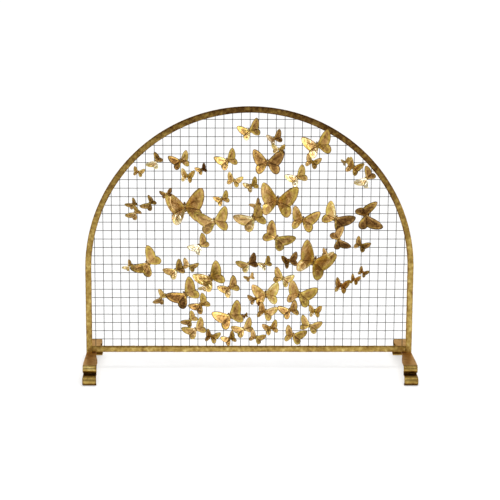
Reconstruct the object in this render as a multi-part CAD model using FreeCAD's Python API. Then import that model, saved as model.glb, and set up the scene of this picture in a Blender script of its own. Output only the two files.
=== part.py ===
import os

import FreeCAD, Part
import math

# Free-standing butterfly fireplace screen, millimetres, +Z up, front towards -Y.
# Origin: floor level, centre of the screen.

# ---------------------------------------------------------------- driving dimensions
FRAME_WIDTH = 972.0          # over the two legs
FRAME_FACE = 18.5            # bar width seen from the front
FRAME_DEPTH = 12.7           # bar depth, front to back
FRAME_BOTTOM = 55.0          # underside of the bottom rail above the floor
ARCH_SPRING = 307.5          # height where the straight legs meet the half-round arch
BAR_EDGE = 1.2               # rounding of the bar edges

STRAP_WIDTH = 41.0           # foot strap at its ends
STRAP_WAIST = 29.0           # foot strap where the frame stands on it
STRAP_T = 4.0                # strap thickness
FOOT_X = 467.0               # centre of each strap at its ends
WAIST_X = 471.0              # centre of the strap under the frame
KNUCKLE_S = 143.0            # knuckle arc centre, distance from the middle
KNUCKLE_Z = 43.0
KNUCKLE_R = 10.0             # strap centre-line radius
CROOK_R = 3.5                # tight bend between knuckle and toe
TOE_S = 165.0                # toe arc centre, distance from the middle
TOE_Z = 14.0
TOE_R = 12.0
SOLE_IN = 158.0              # inner end of the flat sole

SCREW_R = 2.5                # screw holding each strap to the frame corner
SCREW_X = 476.5
SCREW_LENGTH = 14.0          # engagement inside the leg
SCREW_HEAD_R = 5.0
SCREW_HEAD_H = 2.6

WIRE_R = 0.9                 # mesh wire radius
MESH_PITCH = 25.4
MESH_COLUMNS = 18            # each side of the middle wire
MESH_ROWS = 27
MESH_FIRST_ROW = 94.6        # height of the lowest horizontal wire

WING_T = 1.2                 # butterfly sheet thickness
POST_R = 1.2                 # stand-off rod radius
ROD_W = 3.0                  # weld tab at the mesh end of a stand-off rod, width
ROD_T = 2.0                  # weld tab thickness
ROD_OVERRUN = 1.9            # weld tab length past the rod and past the wire
BODY_HALF = 0.22             # body half length, in wing sizes
BODY_R = 0.055               # body radius, in wing sizes
BODY_R_MIN = 0.6
BODY_STATIONS = [(-1.0, 0.22), (-0.78, 0.62), (-0.40, 0.92), (0.10, 1.0), (0.50, 0.90), (0.82, 0.62), (1.0, 0.28)]   # along, radius

# Forewing and hindwing edges of one wing, in wing sizes: distance out from the body, distance towards the head.
FOREWING = [(0.0, 0.13), (0.10, 0.17), (0.22, 0.29), (0.38, 0.46), (0.55, 0.61), (0.72, 0.72), (0.88, 0.79), (0.98, 0.785),
            (1.04, 0.70), (1.05, 0.56), (1.01, 0.36), (0.93, 0.18), (0.83, 0.02), (0.72, -0.11)]
HINDWING = [(0.72, -0.11), (0.79, -0.21), (0.81, -0.34), (0.77, -0.48), (0.67, -0.585), (0.52, -0.605), (0.36, -0.54),
            (0.22, -0.41), (0.12, -0.27), (0.0, -0.16)]

# Butterflies: number, body centre x, y, z, lean of the body to the left in degrees, wing size, lift of the left and right
# wing in degrees, stand-off position along the body in wing sizes, and what the stand-off rod is welded to: a mesh wire
# reached along x or z by the given distance, or the wing of another butterfly.
BUTTERFLIES = [
    ( 1,  -326.4,  -12.2,  602.5,  -17.1,  19.7,  39.2,  31.5,  0.00, ('mesh', 'z', 0.12)),
    ( 2,  -273.7,  -12.6,  634.6,   56.4,  26.0,   7.0,  31.1,  0.00, ('mesh', 'z', -6.59)),
    ( 3,  -202.1,  -13.1,  635.7,   19.3,  34.7,  31.0,  38.8,  0.00, ('mesh', 'x', -1.10)),
    ( 4,  -182.1,  -12.7,  591.2,   -9.9,  28.5,  44.9,  51.1,  0.00, ('mesh', 'x', 4.26)),
    ( 5,  -140.0,  -12.2,  610.4,   29.4,  20.6,  38.8,  39.3,  0.00, ('mesh', 'z', -7.83)),
    ( 6,  -243.0,  -73.7,  548.9,   16.1,  18.1,  17.9,   7.0, -0.08, ('wing', 10, -68.2)),
    ( 7,  -342.7,  -12.2,  508.1,   41.7,  19.4,   7.0,  40.5,  0.00, ('mesh', 'z', -7.14)),
    ( 8,  -335.6,  -12.5,  482.0,   52.1,  25.2,   7.6,  44.8,  0.00, ('mesh', 'x', 5.43)),
    ( 9,  -291.9,  -12.5,  510.1,   54.3,  25.8,   7.0,  40.5,  0.00, ('mesh', 'z', -9.10)),
    (10,  -189.7,  -15.4,  498.8,    7.4,  72.7,  45.2,  35.6,  0.00, ('mesh', 'z', 2.19)),
    (11,  -103.1,  -51.7,  463.7,   14.2,  51.7,   7.0,  33.4, -0.08, ('mesh', 'x', 0.45)),
    (12,  -146.3,  -12.9,  383.1,   42.8,  31.5,  24.0,   7.0,  0.00, ('mesh', 'x', -6.14)),
    (13,    -1.5,  -13.2,  724.3,   22.9,  36.0,  36.2,  17.3,  0.00, ('mesh', 'x', 1.53)),
    (14,    70.2,  -12.7,  700.6,   23.7,  27.6,  50.7,  20.4,  0.00, ('mesh', 'x', 6.05)),
    (15,    81.8,  -41.0,  674.3,   -1.8,  20.4,   7.0,  29.9, -0.14, ('mesh', 'x', -5.50)),
    (16,    50.8,  -14.2,  631.3,   -1.1,  53.2,  35.4,  32.5,  0.00, ('mesh', 'x', -0.04)),
    (17,   -65.4,  -13.2,  637.7,   26.9,  36.6,  30.8,  34.0, -0.14, ('mesh', 'z', -5.11)),
    (18,   -46.8,  -12.6,  577.9,  -19.6,  26.3,  28.9,  34.1,  0.00, ('mesh', 'z', -0.70)),
    (19,     4.7,  -12.6,  562.9,   29.1,  26.2,  42.8,  29.5,  0.00, ('mesh', 'x', -4.66)),
    (20,   196.4,  -14.0,  682.1,   17.4,  50.6,  38.2,  31.2, -0.08, ('mesh', 'z', 0.58)),
    (21,   181.2,  -12.7,  632.5,  -20.7,  27.8,  38.0,  41.9,  0.00, ('mesh', 'x', -3.38)),
    (22,   137.7,  -13.1,  586.6,   30.9,  34.9,  38.6,  19.2, -0.14, ('mesh', 'z', -5.21)),
    (23,   278.0,  -11.9,  632.4,   18.6,  15.6,  45.6,  32.9,  0.00, ('mesh', 'x', 1.44)),
    (24,   302.0,  -13.0,  616.7,  -26.8,  33.0,  38.5,  52.0,  0.00, ('mesh', 'x', 2.79)),
    (25,   340.4,  -12.9,  583.8,   55.5,  32.1,  14.6,  21.1,  0.00, ('mesh', 'z', -6.62)),
    (26,   -81.2,  -12.6,  522.1,   26.0,  26.6,  42.6,  26.2,  0.00, ('mesh', 'x', 5.03)),
    (27,    80.5,  -15.2,  518.2,   -7.2,  69.9,  42.8,  41.4,  0.00, ('mesh', 'x', -4.30)),
    (28,    17.3,  -52.0,  513.8,   37.0,  16.9,   7.0,   7.0, -0.14, ('wing', 29, -43.9)),
    (29,    11.6,  -13.9,  465.5,   31.7,  48.7,   7.0,  39.4,  0.08, ('mesh', 'z', 6.83)),
    (30,    77.9,  -13.8,  407.1,  -37.3,  46.4,  16.1,   7.0,  0.00, ('mesh', 'x', -1.71)),
    (31,   155.4,  -14.0,  461.3,  -14.2,  50.1,  41.2,  34.2,  0.00, ('mesh', 'x', -3.04)),
    (32,   251.6,  -13.9,  464.9,  -34.0,  48.1,  19.9,  20.7,  0.08, ('mesh', 'x', 0.27)),
    (33,   260.7,  -29.9,  404.3,  -69.0,  34.5,   9.9,  31.0,  0.00, ('mesh', 'z', -4.88)),
    (34,   341.6,  -14.0,  472.9,  -75.9,  49.5,  35.2,  31.0,  0.00, ('mesh', 'z', 2.69)),
    (35,   327.4,  -12.7,  385.2,  -30.6,  27.7,  33.9,  40.9,  0.00, ('mesh', 'x', 2.84)),
    (36,  -299.6,  -13.8,  329.5,   52.5,  46.7,  33.9,  15.2,  0.08, ('mesh', 'x', -2.28)),
    (37,  -355.5,  -44.8,  328.3,   49.3,  16.5,  20.5,   7.0,  0.00, ('mesh', 'x', -0.13)),
    (38,  -217.0,  -13.0,  309.2,   34.4,  32.9,  22.5,  28.0, -0.14, ('mesh', 'z', -7.64)),
    (39,  -177.2,  -12.4,  321.3,  -21.8,  23.4,   7.0,   7.0,  0.00, ('mesh', 'x', -0.59)),
    (40,  -261.3,  -12.4,  224.6,   66.1,  23.1,  14.6,  10.7,  0.00, ('mesh', 'z', -2.97)),
    (41,  -189.5,  -14.0,  236.0,   38.7,  50.2,  27.7,  23.0, -0.14, ('mesh', 'x', 7.30)),
    (42,  -143.6,  -25.0,  208.0,   42.7,  34.1,  37.2,  31.1,  0.00, ('mesh', 'z', -11.79)),
    (43,  -114.7,  -14.1,  286.8,   31.9,  52.0,  42.1,  30.9,  0.00, ('mesh', 'z', 10.96)),
    (44,  -132.2,  -46.5,  268.5,   58.6,  17.8,  18.4,  40.2,  0.00, ('wing', 43, -40.6)),
    (45,   -59.2,  -13.1,  255.5,   34.5,  35.3,  42.4,  22.3, -0.14, ('mesh', 'z', -4.41)),
    (46,    -2.7,  -12.9,  327.9,   27.4,  31.7,  10.7,  14.9,  0.00, ('mesh', 'x', 2.65)),
    (47,    45.7,  -12.4,  326.6,   32.5,  23.1,  48.6,   7.0,  0.00, ('mesh', 'z', -3.43)),
    (48,     1.3,  -12.0,  285.9,   27.2,  15.9,   7.0,  19.4,  0.00, ('mesh', 'x', -1.26)),
    (49,    48.0,  -26.7,  239.8,    6.0,  48.9,  37.8,  35.6,  0.00, ('mesh', 'x', 2.80)),
    (50,    16.9,  -12.4,  221.6,   11.9,  23.9,  35.6,  52.0,  0.00, ('mesh', 'z', 0.03)),
    (51,    46.0,  -26.8,  187.7,  -21.9,  36.3,  47.7,  33.7, -0.08, ('mesh', 'x', 5.88)),
    (52,   116.4,  -12.9,  337.1,   14.3,  31.0,  52.0,  25.6,  0.00, ('mesh', 'x', 10.61)),
    (53,   189.9,  -15.3,  336.8,  -25.7,  71.0,  39.1,  49.7, -0.14, ('mesh', 'z', -4.68)),
    (54,   225.2,  -59.2,  368.0,  -21.2,  17.1,   7.0,  15.4,  0.14, ('mesh', 'x', 2.49)),
    (55,    98.1,  -34.6,  288.8,  -23.3,  32.5,   7.0,  39.8, -0.08, ('mesh', 'x', 4.51)),
    (56,   147.3,  -14.0,  236.2,  -18.7,  50.3,  36.3,  28.3,  0.00, ('mesh', 'x', 5.09)),
    (57,   121.0,  -16.3,  188.6,   23.4,  34.6,  31.4,  37.2,  0.00, ('mesh', 'x', 6.02)),
    (58,   193.4,  -19.9,  186.6,   -4.3,  27.6,  48.0,  47.8,  0.00, ('mesh', 'x', 9.81)),
    (59,   270.9,  -13.0,  263.0,  -12.8,  33.0,  51.4,  52.0,  0.00, ('mesh', 'x', 8.55)),
    (60,   310.4,  -12.3,  280.8,  -18.1,  22.4,  52.0,  52.0,  0.00, ('mesh', 'x', -5.58)),
    (61,   335.3,  -12.2,  301.9,  -31.6,  19.5,  32.5,  50.9,  0.00, ('mesh', 'z', -4.14)),
    (62,   -57.7,  -14.0,  169.4,   26.4,  49.6,  33.4,  27.1,  0.00, ('mesh', 'z', 1.39)),
    (63,   -12.7,  -11.7,  169.3,   22.9,  11.2,  52.0,  32.7,  0.00, ('mesh', 'z', 1.48)),
    (64,   -16.4,  -13.0,  129.7,   26.6,  32.7,  24.8,   7.0,  0.00, ('mesh', 'x', -9.05)),
    (65,  -174.4,  -19.7,  158.8,   48.2,  25.0,   7.0,  16.8,  0.00, ('mesh', 'x', -3.43)),
    (66,  -158.6,  -13.1,  128.1,   30.7,  35.1,  15.4,  16.6,  0.00, ('mesh', 'x', 6.21)),
    (67,  -112.5,  -12.7,  107.6,  -18.6,  28.7,  45.5,  38.0,  0.00, ('mesh', 'x', 10.91)),
    (68,   -57.9,  -18.2,  101.9,   30.6,  26.8,  40.3,  38.8,  0.00, ('mesh', 'x', 7.14)),
    (69,    20.5,  -12.6,  104.3,  -25.3,  26.2,  34.0,  27.6,  0.00, ('mesh', 'x', 4.91)),
    (70,    64.0,  -12.8,  133.2,   18.7,  29.4,  45.7,  37.3,  0.00, ('mesh', 'x', 12.17)),
    (71,   130.2,  -13.2,  111.3,  -19.7,  37.2,  39.3,  23.4,  0.00, ('mesh', 'x', -3.18)),
    (72,   179.9,  -12.9,  139.7,  -19.2,  32.1,   7.0,  15.6,  0.00, ('mesh', 'x', -2.10)),
]

LARGE = [10, 27, 53]
MEDIUM = [11, 16, 20, 29, 30, 31, 32, 34, 36, 41, 43, 49, 56, 62]


# ---------------------------------------------------------------- helpers
def vec(x, y, z):
    return FreeCAD.Vector(x, y, z)


def arc3(a, b, c):
    return Part.Arc(a, b, c).toShape()


def out(shape, name):
    shape.exportStep("parts/" + name + ".step")


# ---------------------------------------------------------------- frame
half = FRAME_WIDTH / 2.0
inner = half - FRAME_FACE
d2 = FRAME_DEPTH / 2.0
rail_top = FRAME_BOTTOM + FRAME_FACE


def arch_face(r, z0, y):
    """Half-round headed outline from z0 up, at depth y."""
    a = vec(-r, y, z0)
    b = vec(-r, y, ARCH_SPRING)
    t = vec(0, y, ARCH_SPRING + r)
    c = vec(r, y, ARCH_SPRING)
    d = vec(r, y, z0)
    return Part.Face(Part.Wire([Part.makeLine(a, b), arc3(b, t, c), Part.makeLine(c, d), Part.makeLine(d, a)]))


outer_solid = arch_face(half, FRAME_BOTTOM, -d2).extrude(vec(0, FRAME_DEPTH, 0))
inner_solid = arch_face(inner, FRAME_BOTTOM - 20.0, -d2 - 5).extrude(vec(0, FRAME_DEPTH + 10, 0))
arch = outer_solid.cut(inner_solid)
arch = arch.Solids[0]
edges = []
for e in arch.Edges:
    bb = e.BoundBox
    if bb.ZLength > 60 or bb.XLength > 60:
        edges.append(e)
arch = arch.makeFillet(BAR_EDGE, edges)

rail = Part.makeBox(2 * inner, FRAME_DEPTH, FRAME_FACE, vec(-inner, -d2, FRAME_BOTTOM))
rail = rail.makeFillet(BAR_EDGE, [e for e in rail.Edges if e.BoundBox.XLength > 60])

# ---------------------------------------------------------------- feet
def strap_side(offset):
    """Edge chain of one strap end, outward from the middle, at a signed distance from the centre line (outside positive)."""
    def on(cs, cz, r, deg):
        t = math.radians(deg)
        return (cs + r * math.cos(t), cz + r * math.sin(t))
    rk, rc, rt = KNUCKLE_R + offset, CROOK_R - offset, TOE_R + offset
    crook_z = KNUCKLE_Z - KNUCKLE_R - CROOK_R
    k0, k1, k2 = on(KNUCKLE_S, KNUCKLE_Z, rk, 90), on(KNUCKLE_S, KNUCKLE_Z, rk, 0), on(KNUCKLE_S, KNUCKLE_Z, rk, -90)
    c1, c2 = on(KNUCKLE_S, crook_z, rc, 180), on(KNUCKLE_S, crook_z, rc, 270)
    t0, t1, t2 = on(TOE_S, TOE_Z, rt, 90), on(TOE_S, TOE_Z, rt, 0), on(TOE_S, TOE_Z, rt, -90)
    return [("line", (0.0, KNUCKLE_Z + rk), k0), ("arc", k0, k1, k2), ("arc", k2, c1, c2), ("line", c2, t0),
            ("arc", t0, t1, t2), ("line", t2, (SOLE_IN, TOE_Z - rt))]


def strap_solid(sx):
    cx = sx * FOOT_X
    o = strap_side(STRAP_T / 2.0)
    i = strap_side(-STRAP_T / 2.0)

    def edges_of(segs, sign):
        es = []
        for s in segs:
            pts = [vec(0, sign * p[0], p[1]) for p in s[1:]]
            es.append(Part.makeLine(pts[0], pts[1]) if s[0] == "line" else arc3(pts[0], pts[1], pts[2]))
        return es

    def cap(sign):
        a, b = o[-1][2], i[-1][2]
        return Part.makeLine(vec(0, sign * a[0], a[1]), vec(0, sign * b[0], b[1]))

    all_edges = []
    for sign in (-1, 1):
        all_edges += edges_of(o, sign) + edges_of(i, sign) + [cap(sign)]
    wire = Part.Wire(Part.__sortEdges__(all_edges))
    s = Part.Face(wire).extrude(vec(STRAP_WIDTH, 0, 0))
    s.translate(vec(cx - STRAP_WIDTH / 2.0, 0, 0))
    # plan outline, narrower under the frame, its outer edge staying level with the leg
    w, n, wx = STRAP_WIDTH / 2.0, STRAP_WAIST / 2.0, sx * WAIST_X

    def plan_edge(sign):
        e, m = cx + sign * w, wx + sign * n
        q = [(e, 110.0), (e + (m - e) * 0.55, 55.0), (e + (m - e) * 0.90, 22.0), (m, 0.0)]
        return [vec(e, -200, -5)] + [vec(x, -y, -5) for x, y in q] + [vec(x, y, -5) for x, y in q[-2::-1]] + [vec(e, 200, -5)]
    pr, pl = plan_edge(1), plan_edge(-1)

    def side(p):
        c = Part.BSplineCurve()
        c.interpolate(p[1:8])
        return [Part.makeLine(p[0], p[1]), c.toShape(), Part.makeLine(p[7], p[8])]
    plan = Part.Wire(Part.__sortEdges__(side(pr) + [Part.makeLine(pr[8], pl[8])] + side(pl) + [Part.makeLine(pl[0], pr[0])]))
    s = s.common(Part.Face(plan).extrude(vec(0, 0, 90)))
    return s.Solids[0]


feet = {}
screws = []
for name, sx in (("left_foot", -1), ("right_foot", 1)):
    f = strap_solid(sx)
    x = sx * SCREW_X
    hole = Part.makeCylinder(SCREW_R + 0.3, 20, vec(x, 0, FRAME_BOTTOM - 12), vec(0, 0, 1))
    feet[name] = f.cut(hole).Solids[0]
    head_z = FRAME_BOTTOM - STRAP_T
    head = Part.makeCylinder(SCREW_HEAD_R, SCREW_HEAD_H, vec(x, 0, head_z - SCREW_HEAD_H), vec(0, 0, 1))
    head = head.makeFillet(1.6, [e for e in head.Edges if abs(e.BoundBox.ZMax - (head_z - SCREW_HEAD_H)) < 0.01 and e.BoundBox.ZLength < 0.01])
    shank = Part.makeCylinder(SCREW_R, STRAP_T + SCREW_LENGTH, vec(x, 0, head_z), vec(0, 0, 1))
    slot = Part.makeBox(8.0, 1.2, 1.2, vec(x - 4.0, -0.6, head_z - SCREW_HEAD_H - 0.01))
    screws.append(head.fuse(shank).cut(slot).removeSplitter().Solids[0])
    arch = arch.cut(Part.makeCylinder(SCREW_R, SCREW_LENGTH + 1.0, vec(x, 0, FRAME_BOTTOM), vec(0, 0, 1))).Solids[0]

# ---------------------------------------------------------------- mesh
region = arch_face(inner, rail_top, -4).extrude(vec(0, 8, 0))
vertical = []
for k in range(-MESH_COLUMNS, MESH_COLUMNS + 1):
    w = Part.makeCylinder(WIRE_R, FRAME_BOTTOM + 800, vec(k * MESH_PITCH, -WIRE_R, 40), vec(0, 0, 1))
    vertical.append(w.common(region).Solids[0])
horizontal = []
for k in range(MESH_ROWS):
    w = Part.makeCylinder(WIRE_R, 2 * inner + 20, vec(-inner - 10, WIRE_R, MESH_FIRST_ROW + k * MESH_PITCH), vec(1, 0, 0))
    horizontal.append(w.common(region).Solids[0])

# ---------------------------------------------------------------- butterflies
def axes(lean):
    t = math.radians(lean)
    return vec(-math.sin(t), 0, math.cos(t)), vec(math.cos(t), 0, math.sin(t))


def wing(b, side, body):
    n, x, y, z, lean, size, lift_l, lift_r = b[:8]
    head, right = axes(lean)
    a = math.radians(lift_l if side < 0 else lift_r)
    u = right * (side * math.cos(a)) + vec(0, -1, 0) * math.sin(a)
    nrm = u.cross(head)
    c = vec(x, y, z) - nrm * (WING_T / 2.0)
    root = 0.4 * (BODY_R * size + BODY_R_MIN) / size

    def pt(p):
        return c + u * (max(p[0], root) * size) + head * (p[1] * size)
    f = Part.BSplineCurve()
    f.interpolate([pt(p) for p in FOREWING])
    h = Part.BSplineCurve()
    h.interpolate([pt(p) for p in HINDWING])
    w = Part.Wire([f.toShape(), h.toShape(), Part.makeLine(pt(HINDWING[-1]), pt(FOREWING[0]))])
    s = Part.Face(w).extrude(nrm * WING_T)
    parts = s.cut(body).Solids
    return max(parts, key=lambda q: q.Volume)


def body(b):
    """Eight-sided tapered spindle."""
    n, x, y, z, lean, size = b[:6]
    head, right = axes(lean)
    a, r = BODY_HALF * size, BODY_R * size + BODY_R_MIN
    c = vec(x, y, z)
    rings = []
    for f, k in BODY_STATIONS:
        pts = []
        for i in range(8):
            t = math.radians(22.5 + 45 * i)
            pts.append(c + head * (f * a) + right * (k * r * math.cos(t)) + vec(0, 1, 0) * (k * r * math.sin(t)))
        rings.append(Part.makePolygon(pts + [pts[0]]))
    s = Part.makeLoft(rings, True, True)
    if s.Volume < 0:
        s.reverse()
    return s


bodies, wings = {}, {}
for b in BUTTERFLIES:
    s = body(b)
    bodies[b[0]] = s
    wings[b[0]] = [wing(b, -1, s), wing(b, 1, s)]

posts = {}
for b in BUTTERFLIES:
    n, x, y, z, lean, size, ll, lr, along, foot = b
    head, right = axes(lean)
    p = vec(x, y, z) + head * (along * size)
    if foot[0] == "mesh":
        step = foot[2]
        lo = min(0.0, step) - ROD_OVERRUN
        hi = max(0.0, step) + ROD_OVERRUN
        if foot[1] == "x":
            back = -2 * WIRE_R
            rod = Part.makeBox(hi - lo, ROD_T, ROD_W, vec(p.x + lo, back - ROD_T, p.z - ROD_W / 2.0))
        else:
            back = 0.0
            rod = Part.makeBox(ROD_W, ROD_T, hi - lo, vec(p.x - ROD_W / 2.0, back - ROD_T, p.z + lo))
        stem = Part.makeCylinder(POST_R, back - ROD_T / 2.0 - y, p, vec(0, 1, 0))
        s = stem.fuse(rod).cut(bodies[n])
        for w in wings[n]:
            s = s.cut(w)
        s = max(s.Solids, key=lambda q: q.Volume)
    else:
        other, end = foot[1], foot[2]
        s = Part.makeCylinder(POST_R, end + 6.0 - y, p, vec(0, 1, 0)).cut(bodies[n])
        for w in wings[n] + wings[other]:
            s = s.cut(w)
        s = min(s.Solids, key=lambda q: abs(q.CenterOfMass.y - y) if q.Volume > 1.0 else 1e9)
    posts[n] = s


def group(b):
    n, x, z, size = b[0], b[1], b[3], b[5]
    if n in LARGE:
        return "wings_large_%d" % (LARGE.index(n) + 1)
    if n in MEDIUM:
        return "wings_medium_%02d" % (MEDIUM.index(n) + 1)
    row = "top" if z >= 555.5 else ("middle" if z >= 295.5 else "low")
    col = "left" if x < -100 else ("centre" if x < 100 else "right")
    return "wings_small_%s_%s" % (row, col)


groups = {}
for b in BUTTERFLIES:
    groups.setdefault(group(b), []).extend(wings[b[0]])
big = [b[0] for b in BUTTERFLIES if b[0] in LARGE or b[0] in MEDIUM]
small = [b[0] for b in BUTTERFLIES if b[0] not in big]

# ---------------------------------------------------------------- export
os.makedirs("parts", exist_ok=True)
out(arch, "arch_frame")
out(rail, "bottom_rail")
out(feet["left_foot"], "left_foot")
out(feet["right_foot"], "right_foot")
out(Part.makeCompound(screws), "foot_screws")
out(Part.makeCompound(vertical), "mesh_vertical_wires")
out(Part.makeCompound(horizontal), "mesh_horizontal_wires")
for name in sorted(groups):
    out(Part.makeCompound(groups[name]), name)
out(Part.makeCompound([bodies[n] for n in big]), "bodies_large_medium")
out(Part.makeCompound([bodies[n] for n in small]), "bodies_small")
out(Part.makeCompound([posts[n] for n in big]), "posts_large_medium")
out(Part.makeCompound([posts[n] for n in small]), "posts_small")
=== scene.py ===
import math

import bpy
import numpy as np
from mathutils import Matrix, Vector


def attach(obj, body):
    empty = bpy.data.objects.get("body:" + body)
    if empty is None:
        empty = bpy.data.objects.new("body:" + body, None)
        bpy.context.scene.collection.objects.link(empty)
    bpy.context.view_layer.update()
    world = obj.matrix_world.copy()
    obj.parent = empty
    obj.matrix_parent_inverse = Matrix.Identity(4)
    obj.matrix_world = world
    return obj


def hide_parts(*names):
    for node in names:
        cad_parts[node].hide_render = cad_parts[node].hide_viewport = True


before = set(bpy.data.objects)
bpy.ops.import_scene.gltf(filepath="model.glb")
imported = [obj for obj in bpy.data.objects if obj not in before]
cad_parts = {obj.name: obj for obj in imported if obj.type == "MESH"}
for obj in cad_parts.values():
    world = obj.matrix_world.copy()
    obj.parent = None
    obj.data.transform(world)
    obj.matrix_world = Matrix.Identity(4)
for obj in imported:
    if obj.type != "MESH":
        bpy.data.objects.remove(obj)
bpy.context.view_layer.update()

MM = 0.001

# ------------------------------------------------------------------ dimensions, millimetres, same as the CAD
FRAME_WIDTH = 972.0
FRAME_FACE = 18.5
FRAME_DEPTH = 12.7
FRAME_BOTTOM = 55.0
ARCH_SPRING = 307.5
STRAP_WIDTH = 41.0
STRAP_WAIST = 29.0
STRAP_T = 4.0
FOOT_X = 467.0
WAIST_X = 471.0
KNUCKLE_S, KNUCKLE_Z, KNUCKLE_R, CROOK_R = 143.0, 43.0, 10.0, 3.5
TOE_S, TOE_Z, TOE_R = 165.0, 14.0, 12.0
SOLE_IN = 158.0
WING_T = 1.2
BODY_HALF = 0.22
BODY_R = 0.055
BODY_R_MIN = 0.6

FOREWING = [(0.0, 0.13), (0.10, 0.17), (0.22, 0.29), (0.38, 0.46), (0.55, 0.61), (0.72, 0.72), (0.88, 0.79), (0.98, 0.785),
            (1.04, 0.70), (1.05, 0.56), (1.01, 0.36), (0.93, 0.18), (0.83, 0.02), (0.72, -0.11)]
HINDWING = [(0.72, -0.11), (0.79, -0.21), (0.81, -0.34), (0.77, -0.48), (0.67, -0.585), (0.52, -0.605), (0.36, -0.54),
            (0.22, -0.41), (0.12, -0.27), (0.0, -0.16)]

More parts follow.
